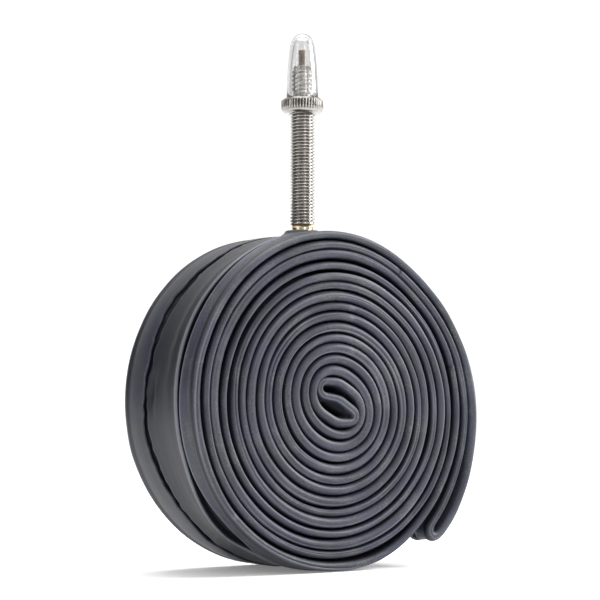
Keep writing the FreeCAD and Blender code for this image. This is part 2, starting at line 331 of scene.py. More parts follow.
@dataclass(frozen=True)
class ButylRubber:
    """Extruded and vulcanised butyl rubber, dusted with talc before packing.

    A dark blue-grey skin, half matte, browner in clouds, with faint draw lines along its length, a
    fine grain, talc on its ridges with painted highlights along them, and a near-black painted
    shade in its creases and between strands.
    """

    name: str = "butyl_rubber_talced"
    dark: str = "#22252e"
    pale: str = "#2b2e3d"
    warm: str = "#33332f"
    # this talc colour also lays the painted highlights along ridges and edges
    talc: str = "#888993"
    # near-black painted shade for the gaps between strands, the grooves and the slit
    painted_gap_shade: str = "#11121a"
    roughness: float = 0.46
    cloud_mm: float = 13.0
    drift_mm: float = 6.0
    grain_mm: float = 0.3
    draw_line_scale: tuple[float, float, float] = (60.0, 1100.0, 1.0)
    talc_share: float = 0.17
    ridge_share: float = 0.5

    def make(self) -> bpy.types.Material:
        """Builds the material on the tube's own length and width attributes.

        Returns:
            The material. Dark and pale clouds, then a brown drift, then talc where the dust, the
            draw lines' scuffs, the powder in the grain and the painted highlights on the ridges add
            up, then a near-black painted shade where the ridge attribute falls below zero: between
            strands, in the grooves and in the slit.
        """
        material, tree, shader = new_material(self.name)
        spot = add_node(tree, "ShaderNodeTexCoord").outputs["Object"]
        cloud, drift, grain = (
            add_node(tree, "ShaderNodeTexNoise", Vector=spot, Scale=1.0 / (size * MM), Detail=detail).outputs[0]
            for size, detail in ((self.cloud_mm, 3.0), (self.drift_mm, 5.0), (self.grain_mm, 2.0))
        )
        along, across, ridge = (
            add_node(tree, "ShaderNodeAttribute", {"attribute_name": label}).outputs["Fac"]
            for label in ("along", "across", "ridge")
        )
        drawn = add_node(tree, "ShaderNodeCombineXYZ", X=along, Y=across).outputs[0]
        stretch = add_node(tree, "ShaderNodeMapping", Vector=drawn, Scale=self.draw_line_scale).outputs[0]
        lines = add_node(tree, "ShaderNodeTexNoise", Vector=stretch, Scale=1.0, Detail=3.0).outputs[0]
        # worn: the ridge attribute scaled, talc with painted highlights on ridges and edges; below zero it takes talc
        # away
        speck, worn = (
            add_node(tree, "ShaderNodeMath", {"operation": "MULTIPLY"}, in0=first, in1=second).outputs[0]
            for first, second in ((drift, grain), (ridge, self.ridge_share))
        )
        # hidden: painted shade, full where the ridge attribute reaches -1
        tone, brown, dust, scuff, powder, hidden, rough = (
            add_node(tree, "ShaderNodeMapRange", Value=source, From_Min=start, From_Max=end, To_Min=low,
                     To_Max=high).outputs[0]
            for source, start, end, low, high in (
                (cloud, 0.35, 0.65, 0.0, 1.0),
                (drift, 0.48, 0.7, 0.0, 0.45),
                (speck, 0.27, 0.45, 0.0, self.talc_share),
                (lines, 0.5, 0.75, 0.0, 0.7 * self.talc_share),
                (grain, 0.4, 0.7, 0.0, 0.35 * self.talc_share),
                (ridge, 0.0, -1.0, 0.0, 1.0),
                (lines, 0.3, 0.7, self.roughness - 0.03, self.roughness + 0.05),
            )
        )
        # talc from scuffs, grain and dust, plus the painted highlights
        talc_and_painted_highlight = scuff
        for layer in (powder, dust, worn):
            talc_and_painted_highlight = add_node(tree, "ShaderNodeMath", {"operation": "ADD", "use_clamp": True}, in0=talc_and_painted_highlight,
                             in1=layer).outputs[0]
        # the talc colour also lays the painted highlights; the last mix lays the painted shade
        base = linear_colour(self.dark)
        for share, code in ((tone, self.pale), (brown, self.warm), (talc_and_painted_highlight, self.talc), (hidden, self.painted_gap_shade)):
            base = add_node(tree, "ShaderNodeMix", {"data_type": "RGBA"}, in0=share, in6=base,
                            in7=linear_colour(code)).outputs[2]
        height = add_node(tree, "ShaderNodeMath", {"operation": "MULTIPLY_ADD"}, in0=lines, in1=0.25,
                          in2=grain).outputs[0]
        bump = add_node(tree, "ShaderNodeBump", Height=height, Strength=0.75, Distance=0.08 * MM).outputs[0]
        wire(tree, shader, {"Base Color": base, "Roughness": rough, "Normal": bump})
        shader.inputs["IOR"].default_value = 1.52
        shader.inputs["Specular IOR Level"].default_value = 0.36
        return material


@dataclass(frozen=True)
class PlatedBrass:
    """Turned brass under bright nickel: a warm grey mirror with fine turning marks, bare brass below.

    The plating stops at the plain collar, where the yellow brass shows.
    """

    name: str = "bright_nickel_plate"
    plate: str = "#aeaaa7"
    worn: str = "#8a8580"
    brass: str = "#b9a27a"
    # dark colour laid as painted shade in the roots of threads and flutes
    root_shade_colour: str = "#2e2b28"
    root_shade_share: float = 0.45
    roughness: float = 0.16
    brass_below_mm: float | None = None
    tarnish_mm: float = 1.6
    mark_mm: float = 0.25

    def make(self) -> bpy.types.Material:
        """Builds the plate.

        Returns:
            The material: plate and its tarnish, bare brass below the given height, painted shade
            in the roots of threads and flutes, and fine turning marks round the axis.
        """
        material, tree, shader = new_material(self.name)
        spot = add_node(tree, "ShaderNodeTexCoord").outputs["Object"]
        tarnish = add_node(tree, "ShaderNodeTexNoise", Vector=spot, Scale=1.0 / (self.tarnish_mm * MM),
                           Detail=4.0).outputs[0]
        sunk = add_node(tree, "ShaderNodeAttribute", {"attribute_name": "groove"}).outputs["Fac"]
        ranges = [
            (tarnish, 0.5, 0.8, 0.0, 1.0),
            # painted shade in thread roots and flutes, from the groove attribute
            (sunk, 0.35, 1.0, 0.0, self.root_shade_share),
            (tarnish, 0.3, 0.8, self.roughness, self.roughness + 0.14),
        ]
        if self.brass_below_mm is not None:
            height = add_node(tree, "ShaderNodeSeparateXYZ", Vector=spot).outputs["Z"]
            edge = self.brass_below_mm * MM
            ranges.append((height, edge + 0.1 * MM, edge - 0.1 * MM, 0.0, 1.0))
        share, root_shade, dull, *low = (
            add_node(tree, "ShaderNodeMapRange", Value=source, From_Min=start, From_Max=end, To_Min=floor,
                     To_Max=top).outputs[0]
            for source, start, end, floor, top in ranges
        )
        metal = linear_colour(self.plate)
        for factor, code in ((share, self.worn), *((foot, self.brass) for foot in low), (root_shade, self.root_shade_colour)):
            metal = add_node(tree, "ShaderNodeMix", {"data_type": "RGBA"}, in0=factor, in6=metal,
                             in7=linear_colour(code)).outputs[2]
        squeeze = add_node(tree, "ShaderNodeMapping", Vector=spot,
                           Scale=(200.0, 200.0, 1.0 / (self.mark_mm * MM))).outputs[0]
        marks = add_node(tree, "ShaderNodeTexNoise", Vector=squeeze, Scale=1.0, Detail=2.0).outputs[0]
        bump = add_node(tree, "ShaderNodeBump", Height=marks, Strength=0.06, Distance=0.02 * MM).outputs[0]
        wire(tree, shader, {"Base Color": metal, "Roughness": dull, "Normal": bump})
        shader.inputs["Metallic"].default_value = 1.0
        return material


@dataclass(frozen=True)
class ClearPolystyrene:
    """Injection-moulded clear plastic, water white, with a faintly wavy skin from the mould."""

    name: str = "clear_moulded_plastic"
    tint: str = "#e9e9e9"
    roughness: float = 0.015
    ripple_mm: float = 2.5

    def make(self) -> bpy.types.Material:
        """Builds the plastic.

        Returns:
            The material: a transmitting shader with a soft ripple in its skin.
        """
        material, tree, shader = new_material(self.name)
        spot = add_node(tree, "ShaderNodeTexCoord").outputs["Object"]
        shader.inputs["Base Color"].default_value = linear_colour(self.tint)
        shader.inputs["Transmission Weight"].default_value = 0.95
        shader.inputs["IOR"].default_value = 1.49
        shader.inputs["Roughness"].default_value = self.roughness
        ripple = add_node(tree, "ShaderNodeTexNoise", Vector=spot, Scale=1.0 / (self.ripple_mm * MM),
                          Detail=1.0)
        bump = add_node(tree, "ShaderNodeBump", Height=ripple.outputs[0], Strength=0.04, Distance=0.05 * MM)
        tree.links.new(bump.outputs[0], shader.inputs["Normal"])
        return material


# ---------------------------------------------------------------- the rolled tube
class Arm(Enum):
    """The two halves of the flat tube that leave the core and meet again in the outer fold."""

    OUTER = 0
    INNER = 1


@dataclass
class Winding:
    """The closed line that the flat tube follows, in the plane of the roll's front face.

    Attributes:
        centre: x and z of the middle of the S, mm.
        core_radius: where the spirals start, mm.
        pitch: from one strand to the next, mm.
        start_deg: direction in which the outer arm leaves the core.
        fold_deg: direction of the fold at the outer end.
        head: place of the S's upper bend from its middle, mm.
        bend_radius: radius of the S's bends, mm.
        bow: how far the S's bar is bowed to the upper right, mm.
        first_turn: half turns at which the spirals take over from the core.
        bend_deg: how far round the S's bends run.
        soften: length over which the joins are smoothed, mm.
        blend: length over which a wander comes to meet its own start, mm.
    """

    centre: tuple[float, float] = (-0.4, 40.2)
    core_radius: float = 4.5
    pitch: float = 2.56
    pitch_loss: float = 0.006
    start_deg: float = 150.0
    fold_deg: float = -48.0
    head: tuple[float, float] = (-3.75, 3.3)
    bend_radius: float = 1.75
    bow: float = 0.9
    step: float = 0.1
    first_turn: float = 0.33
    bend_deg: float = 142.0
    soften: float = 0.9
    blend: float = 15.0
    places: np.ndarray = field(init=False)
    tangents: np.ndarray = field(init=False)
    length: np.ndarray = field(init=False)
    turns: np.ndarray = field(init=False)
    sides: np.ndarray = field(init=False)

    def __post_init__(self) -> None:
        """Works the line out once."""
        self.trace()

    def radius(self, turn: np.ndarray, angle: np.ndarray) -> np.ndarray:
        """Distance of a strand from the middle of the S.

        Args:
            turn: half turns since the core.
            angle: direction in degrees.

        Returns:
            The core's radius plus a pitch for each half turn, longer along the S, with the roll
            slumped down to the left and pressed a little flat at its upper right.
        """
        reach = self.core_radius + self.pitch * turn - self.pitch_loss * turn * turn
        oval = 1.5 * np.cos(2.0 * np.radians(angle - 140.0)) * np.exp(-turn / 3.2)
        oval = oval - 0.3 * bump_at(0.5, 1.2, turn)
        slump = 0.68 * (reach / 39.0) * (1.0 - np.cos(np.radians(angle - 45.0)))
        flat = -1.5 * (reach / 40.0) ** 3 * bearing_bump(48.0, 28.0, angle)
        return reach + oval + slump + flat

    def arm(self, which: Arm, turn: np.ndarray) -> np.ndarray:
        """Points of one arm, measured from the middle of the S.

        Args:
            which: the arm.
            turn: half turns since the core.

        Returns:
            Points at the radius of each half turn, the two arms leaning to and fro against each
            other, with the looser places of the outer turns added.
        """
        angle = self.start_deg - 180.0 * which.value - 180.0 * turn
        reach = self.radius(turn, angle)
        lean = 0.09 * np.sin(1.15 * turn + 0.6) * smoothstep(1.5, 3.0, turn) * smoothstep(14.0, 13.0, turn)
        if which is Arm.OUTER:
            reach = reach + lean + 2.4 * smoothstep(14.75, 15.1, turn) - 0.35 * smoothstep(15.03, 15.12, turn)
            reach = reach + 0.8 * bump_at(13.22, 0.1, turn) + 0.3 * bump_at(12.6, 0.3, turn)
            reach = reach - 0.45 * bump_at(10.1, 0.4, turn)
        else:
            reach = reach - lean + 1.1 * smoothstep(13.6, 14.1, turn)
        turn_angle = np.radians(angle)
        return np.stack([reach * np.cos(turn_angle), reach * np.sin(turn_angle)], -1)

    def core_half(self, bow: float) -> np.ndarray:
        """From the middle of the S, along its bar and round its upper bend.

        Args:
            bow: how far the bar's middle stands off to the upper right, mm.

        Returns:
            Points: a straight run with a bow that fades as a squared cosine, then an arc.
        """
        head = np.array(self.head)
        distance = np.hypot(*head)
        lean = math.asin(self.bend_radius / distance)
        bearing = math.atan2(head[1], head[0])
        bar = math.sqrt(distance**2 - self.bend_radius**2)
        way = np.array([math.cos(bearing + lean), math.sin(bearing + lean)])
        share = np.linspace(0.0, 1.0, 30)[:, None]
        straight = bar * share * way + bow * np.cos(0.5 * np.pi * share) ** 2 * np.array([way[1], -way[0]])
        first = bearing + lean + math.pi / 2.0
        sweep = first - np.linspace(0.0, math.radians(self.bend_deg), 40)
        bend = head + self.bend_radius * np.stack([np.cos(sweep), np.sin(sweep)], -1)
        return np.vstack([straight, bend])

    def fold(self, start: np.ndarray, end: np.ndarray, before: np.ndarray) -> np.ndarray:
        """The tight turn at the outer end.

        Args:
            start: where one leg ends.
            end: where the other starts.
            before: the direction in which the first leg runs.

        Returns:
            Half an ellipse from leg to leg, whose depth is 1.3 times half the gap between them.
        """
        middle, half = (start + end) / 2.0, (start - end) / 2.0
        ahead = before / np.hypot(*before) * np.hypot(*half) * 1.3
        sweep = np.linspace(0.0, math.pi, 24)[1:-1, None]
        return middle + half * np.cos(sweep) + ahead * np.sin(sweep)

    def trace(self) -> None:
        """Joins the core, the outer arm, the fold and the inner arm, and smooths the joins."""
        last = (self.start_deg - self.fold_deg) / 180.0 + 14.0
        core, other_core = self.core_half(self.bow), self.core_half(-self.bow)
        out_turns = np.arange(self.first_turn, last, 0.01)
        in_turns = np.arange(self.first_turn, last - 1.0, 0.01)[::-1]
        outward, inward = self.arm(Arm.OUTER, out_turns), self.arm(Arm.INNER, in_turns)
        fold = self.fold(outward[-1], inward[0], outward[-1] - outward[-2])
        line = np.vstack([core, outward, fold, inward, -other_core[::-1][:-1]])
        turns = np.concatenate([
            np.full(len(core), 0.2), out_turns, np.full(len(fold), last), in_turns,
            np.full(len(core) - 1, 0.2),
        ])
        sides = np.concatenate([
            np.ones(len(core) + len(outward) + len(fold) // 2),
            -np.ones(len(fold) - len(fold) // 2 + len(inward) + len(core) - 1),
        ])
        run = np.concatenate([[0.0], np.cumsum(np.hypot(*np.diff(line, axis=0).T))])
        count = int(run[-1] / self.step)
        even = np.linspace(0.0, run[-1], count, endpoint=False)
        raw = np.stack([np.interp(even, run, line[:, axis]) for axis in (0, 1)], -1)
        spread = self.soften / self.step
        reach = int(4 * spread)
        kernel = np.exp(-0.5 * (np.arange(-reach, reach + 1) / spread) ** 2)
        kernel /= kernel.sum()
        padded = np.vstack([raw[-reach:], raw, raw[:reach]])
        smooth = np.stack([np.convolve(padded[:, axis], kernel, "valid") for axis in (0, 1)], -1)
        ahead = np.roll(smooth, -1, axis=0) - np.roll(smooth, 1, axis=0)
        self.tangents = ahead / np.hypot(*ahead.T)[:, None]
        self.places = smooth + np.array(self.centre)
        self.length = even
        self.turns = np.interp(even, run, turns)
        self.sides = np.interp(even, run, sides)

    def stations(self, start: float, end: float, coarse: float) -> np.ndarray:
        """Lengths along the line at which the tube is cut into rings.

        Args:
            start: where the piece starts, mm along the line.
            end: where it ends; past the line's end it runs on round the closed line.
            coarse: longest step, mm.

        Returns:
            Lengths closer together where the line bends more: 0.14 of the bend's radius, at most
            the coarse step.
        """
        turn = np.unwrap(np.arctan2(self.tangents[:, 1], self.tangents[:, 0]))
        bend = np.abs(np.gradient(turn, self.step))
        step = np.clip(0.14 / np.maximum(bend, 1e-6), 0.25, coarse)
        laps = np.concatenate([self.length, self.length + self.length[-1] + self.step])
        steps = np.concatenate([1.0 / step, 1.0 / step])
        inside = (laps >= start) & (laps <= end)
        tally = np.cumsum(steps[inside]) * self.step
        wanted = np.linspace(tally[0], tally[-1], int(tally[-1] - tally[0]) + 1)
        found = np.interp(wanted, tally, laps[inside])
        found[0], found[-1] = start, end
        return found

    @property
    def lap(self) -> float:
        """Length of the closed line, mm."""
        return self.length[-1] + self.step

    def read(self, values: np.ndarray, stations: np.ndarray) -> np.ndarray:
        """Values kept along the line, read at the stations."""
        return np.interp(stations % self.lap, self.length, values, period=self.lap)

    def turn_at(self, stations: np.ndarray) -> np.ndarray:
        """Half turns since the core at the stations."""
        return self.read(self.turns, stations)

    def side_at(self, stations: np.ndarray) -> np.ndarray:
        """1 on the outer arm and -1 on the inner arm, passing through 0 in the core and the fold."""
        return self.read(self.sides, stations)

    def ripple(self, stations: np.ndarray, step: float, seed: int, sharp: bool = False) -> np.ndarray:
        """A wander along the line that meets itself where the line closes.

        Args:
            stations: lengths along the line.
            step: distance between the wander's knots, mm.
            seed: picks the wander.
            sharp: joins the knots with straight pieces.

        Returns:
            The wander, blended over its last stretch with the one that leads into its start.
        """
        place = stations % self.lap
        share = smoothstep(self.lap - self.blend, self.lap, place)
        ending, starting = (wander(spot, step, seed, sharp) for spot in (place, place - self.lap))
        return ending * (1.0 - share) + starting * share

    def at_turn(self, which: Arm, turn: float) -> float:
        """Finds a half turn on the line.

        Args:
            which: the arm.
            turn: half turns since the core.

        Returns:
            Length along the line at which that arm has made that many half turns, mm.
        """
        side = 1.0 if which is Arm.OUTER else -1.0
        wrong = np.where(self.sides * side > 0.0, 0.0, 1e3)
        return float(self.length[np.argmin(np.abs(self.turns - turn) + wrong)])


@dataclass
class RolledTube:
    """The flat butyl tube, both margins folded over its outside, wound along the winding.

    Attributes:
        winding: the line it follows.
        width: of the folded tube, mm, across the roll.
        bead: depth of the rounding along its two folded edges, mm.
        fill: share of the strand's pitch that the rubber fills.
        groove: where the front margin's free edge lies, mm from the middle.
        slit: where the back margin's free edge lies, mm from the middle.
        outer_from: half turns out the outer arm where the outer piece starts.
        outer_until: half turns out the inner arm where it ends.
        outer_step: longest step between the outer piece's rings, mm.
        inner_step: longest step between the inner piece's rings, mm.
        end_fade: length over which the margins fade at the outer piece's ends, mm.
        open_from: half turns out the outer arm from which the outside lies open.
        slip_deg: how far the fold's far side lies turned back.
        edge_samples: points round the front edge.
        back_samples: points round the back edge.
    """

    winding: Winding
    rubber: ButylRubber = field(default_factory=ButylRubber)
    body: str = "tube_body"
    width: float = 32.0
    bead: float = 1.9
    fill: float = 0.92
    groove: float = -9.2
    slit: float = 4.6
    outer_from: float = 12.75
    outer_until: float = 13.5
    outer_step: float = 1.0
    inner_step: float = 1.35
    end_fade: float = 6.0
    open_from: float = 13.05
    slip_deg: float = 8.0
    edge_samples: int = 30
    back_samples: int = 16

    def build(self) -> list[bpy.types.Object]:
        """Makes the two pieces of the tube, dresses them and puts them in place of the CAD solid.

        Returns:
            The outer turn and the inner turns.
        """
        winding = self.winding
        start = winding.at_turn(Arm.OUTER, self.outer_from)
        end = winding.at_turn(Arm.INNER, self.outer_until)
        material = self.rubber.make()
        outer = self.sweep("tube_outer_turn", winding.stations(start, end, self.outer_step), True)
        inner = self.sweep("tube_inner_turns", winding.stations(end, start + winding.lap, self.inner_step), False)
        for piece in (outer, inner):
            piece.data.materials.append(material)
            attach(piece, self.body)
            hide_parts("tube")
        return [outer, inner]

    def thickness(self, stations: np.ndarray) -> np.ndarray:
        """The strand's thickness.

        Args:
            stations: lengths along the line.

        Returns:
            The filled share of the local pitch, a little more in one arm and less in the other,
            changing over half way out, and less where the outer strands lie loose.
        """
        winding, ripple = self.winding, partial(self.winding.ripple, stations)
        turn = winding.turn_at(stations)
        side = np.sign(winding.side_at(stations))
        angle = winding.start_deg - 180.0 * turn - np.where(side > 0.0, 0.0, 180.0)
        local = (winding.radius(turn + 1.0, angle) - winding.radius(turn - 1.0, angle)) / 2.0
        swap = -0.07 + 0.22 * smoothstep(5.5, 8.0, turn) - 0.13 * smoothstep(12.2, 13.4, turn)
        loose = 0.12 * smoothstep(9.0, 11.0, turn) * smoothstep(-0.1, 0.9, ripple(24.0, 11))
        gaping = np.where(side > 0.0, 0.26 * bump_at(10.1, 0.4, turn) + 0.2 * bump_at(12.6, 0.3, turn), 0.0)
        tight = 0.05 * smoothstep(4.5, 2.5, turn) + 0.12 * smoothstep(14.5, 14.9, turn)
        return np.clip(local, 2.15, 2.6) * (self.fill + side * swap - loose - gaping + tight)

    def belly(self, stations: np.ndarray, half: np.ndarray, lap: np.ndarray) -> np.ndarray:
        """How far a wall swells past its edge, so that strands meet inside the roll.

        Args:
            stations: lengths along the line.
            half: half thickness at each station.
            lap: share of the way across the roll.

        Returns:
            Half a pitch less half the strand, times a rise that is full a quarter of the way in,
            and nothing on the S's bar and where no strand lies outside.
        """
        turn = self.winding.turn_at(stations)
        covered = smoothstep(0.9, 1.6, turn) * smoothstep(13.0, 12.9, turn)
        room = np.maximum(0.49 * self.winding.pitch - half, 0.0) * covered
        return room[:, None] * smoothstep(0.05, 0.26, lap)

    def bared(self, stations: np.ndarray) -> tuple[np.ndarray, np.ndarray]:
        """How far the strand's walls are open to view.

        Args:
            stations: lengths along the line.

        Returns:
            For the left-hand wall, 1 on the S's bar and less at the wide gap; for the right-hand
            wall, 1 in the hollow of the outer fold and less over the S's upper hollow.
        """
        turn = self.winding.turn_at(stations)
        outer_arm = self.winding.side_at(stations) > 0.0
        wide = np.where(outer_arm, 0.8 * bump_at(10.1, 0.4, turn), 0.0)
        hollow = np.where(outer_arm, np.maximum(smoothstep(14.6, 14.85, turn), 0.5 * smoothstep(1.1, 0.7, turn)), 0.0)
        return np.maximum(smoothstep(0.36, 0.25, turn), wide), hollow

    def frame_at(self, stations: np.ndarray) -> tuple[np.ndarray, np.ndarray]:
        """Places the cross-section on the line.

        Args:
            stations: lengths along the line.

        Returns:
            The line's places, and its left-hand normals of length one.
        """
        winding = self.winding
        place = np.stack([winding.read(winding.places[:, axis], stations) for axis in (0, 1)], -1)
        ahead = np.stack([winding.read(winding.tangents[:, axis], stations) for axis in (0, 1)], -1)
        ahead /= np.hypot(*ahead.T)[:, None]
        return place, np.stack([-ahead[:, 1], ahead[:, 0]], -1)

    def edge(self, half: np.ndarray, count: int, stations: np.ndarray, seed: int) -> np.ndarray:
        """The rounded edge of the folded tube.

        Args:
            half: half thickness at each station.
            count: samples round the edge.
            stations: lengths along the line.
            seed: picks the creases.

        Returns:
            Stations by samples by 3: across the thickness, depth in from the edge, and painted light
            and shade. Half an ellipse, with a crease pressed in along it where the two folded layers
            part, a thin ridge beside the crease painted pale as a highlight line, and painted shade
            on the flanks that sink between strands, less where a wall lies bare to view.
        """
        ripple = partial(self.winding.ripple, stations)
        sweep = np.linspace(-0.5 * np.pi, 0.5 * np.pi, count)[None, :]
        across = half[:, None] * np.sin(sweep)
        share = np.sin(sweep) + 0.0 * across
        depth = self.bead * (1.0 - np.abs(np.cos(sweep)) ** 0.8) + 0.0 * across
        crease_at = (0.30 + 0.28 * ripple(33.0, seed))[:, None]
        crease = 0.3 * smoothstep(-0.1, 0.7, ripple(41.0, seed + 1))[:, None]
        depth = depth + crease * bump_at(crease_at, 0.11, share)
        # a thin raised line beside the crease, painted pale as a highlight
        ridge = (0.55 + 0.45 * ripple(19.0, seed + 3))[:, None] * bump_at(crease_at + 0.27, 0.15, share)
        speck = smoothstep(0.9, 1.0, ripple(1.1, seed + 4, sharp=True))[:, None] * bump_at(0.0, 0.5, share)
        sway = 0.16 * ripple(9.0, seed + 2)[:, None] * np.cos(sweep) ** 2
        depth = depth - 0.1 * ridge - 0.05 * speck - sway
        left_bare, right_bare = self.bared(stations)
        bare = np.where(share > 0.0, left_bare[:, None], right_bare[:, None])
        # painted shade on the flanks that sink into the gaps between strands, less where a wall is bare
        hidden = smoothstep(0.76, 1.0, np.abs(share)) * (1.0 - bare)
        return np.stack([across, depth, 0.8 * ridge + 0.7 * speck - hidden * (1.0 - 0.6 * ridge)], -1)

    def outside(self, stations: np.ndarray, front: np.ndarray, back: np.ndarray) -> np.ndarray:
        """The outside of the outer turn, from its front edge to its back edge.

        Args:
            stations: lengths along the line.
            front: where it starts across the roll, mm.
            back: where it ends, mm.

        Returns:
            Stations by samples by 3: across the roll, height over the strand, and painted light and
            shade. The front margin ends in an edge with a painted highlight over a groove painted
            dark as shade, the middle starts in a raised lip with a painted highlight and dishes a
            little, and the back margin ends in a jagged open slit painted dark as shade; the middle
            past its lip and the back margin are darker on the left. Low on the left the front margin
            stands off as a pocket.
        """
        winding, ripple = self.winding, partial(self.winding.ripple, stations)
        place, _ = self.frame_at(stations)
        angle = np.degrees(np.arctan2(place[:, 1] - winding.centre[1], place[:, 0] - winding.centre[0])) % 360.0
        bell = partial(bearing_bump, angle=angle)
        pocket = smoothstep(194.0, 230.0, angle) ** 1.6 * smoothstep(243.0, 231.0, angle)
        loose = bell(301.0, 9.0)
        pad = bell(90.0, 12.0)
        left = smoothstep(96.0, 116.0, angle) * smoothstep(285.0, 262.0, angle)
        opening = smoothstep(109.0, 113.0, angle) * smoothstep(300.0, 276.0, angle)
        groove = self.groove + 0.3 * ripple(31.0, 21) + 0.9 * pocket - 0.6 * pad
        groove -= 0.5 * bell(190.0, 22.0)
        slit = self.slit + 0.5 * ripple(15.0, 22) + 0.42 * ripple(1.7, 23, sharp=True)
        slit += 0.9 * bell(184.0, 14.0) - 0.6 * bump_at(120.0, 12.0, angle)
        groove_gap = 0.75 + 1.25 * bell(150.0, 24.0) + 0.2 * ripple(23.0, 24)
        groove_gap = groove_gap + 5.2 * pocket + 2.2 * loose + 0.6 * bell(212.0, 12.0)
        groove_gap *= 1.0 - 0.8 * pad
        tear = 1.25 + 1.5 * bell(140.0, 19.0) + 0.45 * ripple(7.0, 25)
        tear += 0.6 * ripple(1.3, 26, sharp=True)
        slit_gap = np.maximum(tear * opening, 0.07)
        sunk = 0.25 + 0.75 * np.maximum(left, 0.35) + 0.15 * pocket
        column = np.ones_like(stations)[:, None]

        def across(start: np.ndarray, offsets: np.ndarray, stretch: np.ndarray | float = 1.0) -> np.ndarray:
            """Places a row of offsets from a line that runs along the tube.

            Args:
                start: the line's place across the roll at each station, mm.
                offsets: distances from it, mm.
                stretch: widens them.

            Returns:
                Stations by offsets: the line's place plus each offset times the stretch.
            """
            return start[:, None] + offsets[None, :] * stretch * column

        # the front margin, its free edge rolled up, and its lip down into the groove
        lap = np.linspace(0.0, 1.0, 12)[None, :]
        first_end = groove - groove_gap / 2.0
        first = front[:, None] + (first_end - front)[:, None] * lap
        first_height = (0.26 * bump_at(0.5, 0.8, (1.0 - lap) * 5.4) - 0.5 * (1.0 - lap) ** 1.6) * column
        # a painted highlight along the front margin's free edge, stronger on the left
        first_edge_highlight = 0.7 * bump_at(0.0, 1.0, (1.0 - lap) * 9.0) * (0.6 + 0.4 * left[:, None]) * column
        lip = np.array([(0.08, -0.04), (0.13, -0.2), (0.04, -0.45), (-0.35, -0.7), (-1.1, -1.0), (-1.1, -1.75),
                        (-0.1, -1.95)])
        under = across(first_end, lip[:, 0], 1.0 + 1.4 * pocket[:, None])
        under_height = lip[:, 1][None, :] * sunk[:, None]
        rise = np.array([(0.5, -1.9), (0.4, -1.2), (0.05, -0.5), (-0.03, -0.15), (0.06, 0.06)])
        second_start = groove + groove_gap / 2.0
        rising = across(second_start, rise[:, 0])
        lifted = 2.6 * loose[:, None]
        rising_height = rise[:, 1][None, :] * sunk[:, None] + lifted * np.array([0.0, 0.1, 0.5, 0.9, 1.0])
        # painted shade down the groove and under its lips, with a painted highlight on the rising lip's top
        groove_shade_and_highlight = -0.95 * column * np.array([0.1, 0.5, *[1.0] * 8, 0.8, -0.5])

        # the middle: a raised lip with a painted highlight, a shallow dish, a swell beside it and one dimple
        middle_lap = np.linspace(0.02, 0.98, 22)[None, :]
        from_lip = middle_lap * 13.5
        middle = second_start[:, None] + (slit - slit_gap / 2.0 - second_start)[:, None] * middle_lap
        raised = 0.42 * bump_at(0.75, 0.62, from_lip)
        dish = -0.34 * np.sin(np.pi * middle_lap) ** 0.8 - 0.12 * middle_lap
        swell = 0.22 * bump_at(4.6, 1.5, from_lip) * (0.5 + ripple(26.0, 29))[:, None]
        hollow = bump_at(slit[:, None] - 2.5, 1.35, middle) * bell(176.0, 5.5)[:, None]
        rim = bump_at(slit[:, None] - 4.3, 0.5, middle) * bell(177.0, 6.0)[:, None]
        sway = 0.14 * ripple(13.0, 27)[:, None] * np.sin(np.pi * middle_lap)
        shape = raised + dish + swell + sway
        middle_height = shape * (1.0 - 0.75 * pad[:, None]) - 0.7 * hollow + 0.25 * rim + lifted
        # painted highlights on the lip and the rim, painted shade in the dimple, and the middle past the lip darker
        # on the left
        middle_light_and_shade = 1.1 * bump_at(0.7, 0.6, from_lip) * (0.35 + 0.65 * left[:, None])
        middle_light_and_shade = middle_light_and_shade + 0.45 * rim - 0.2 * hollow
        middle_light_and_shade = middle_light_and_shade - 0.8 * smoothstep(0.08, 0.16, middle_lap) * left[:, None]

        # the slit's floor and its far edge, then the back margin with a fold line at one bearing
        ends = middle_height[:, -1:]
        drop = np.array([(0.05, -0.12), (0.1, -0.5), (0.2, -1.2), (0.5, -1.5), (1.3, -1.5), (1.4, -1.1)])
        deep = np.clip(opening, 0.12, 1.0)[:, None]
        floor = across(slit - slit_gap / 2.0, drop[:, 0])
        floor_height = ends + drop[:, 1][None, :] * deep
        edge = np.array([(0.5, -0.85), (0.02, -0.75), (-0.1, -0.45), (-0.08, -0.12), (0.07, 0.02)])
        last_start = slit + slit_gap / 2.0
        edging = across(last_start, edge[:, 0])
        edging_height = edge[:, 1][None, :] * deep + 0.1 * opening[:, None] + lifted
        # painted shade down the slit, with a faint painted highlight on its far edge
        slit_painted_shade = -0.95 * column * np.array([0.3, *[1.0] * 7, 0.9, 0.2, -0.1])
        last_lap = np.linspace(0.05, 1.0, 12)[None, :]
        last = last_start[:, None] + (back - last_start)[:, None] * last_lap
        last_height = (0.18 + 0.12 * ripple(19.0, 28))[:, None] * np.sin(np.pi * last_lap)
        last_height = last_height + 0.1 * opening[:, None] * (1.0 - last_lap) - 0.35 * last_lap**3
        fold_line = bell(184.0, 0.22)[:, None]
        last_height = last_height - 0.07 * fold_line * smoothstep(0.95, 0.6, last_lap) + lifted * (1.0 - last_lap**2)
        where = np.hstack([first, under, rising, middle, floor, edging, last])
        height = np.hstack([first_height, under_height, rising_height, middle_height, floor_height,
                            edging_height, last_height])
        # the back margin darker on the left
        last_left_darkening = -0.3 * left[:, None] + 0.0 * last
        worn = np.hstack([first_edge_highlight, groove_shade_and_highlight, middle_light_and_shade, slit_painted_shade, last_left_darkening])
        return np.stack([where, height, worn], -1)

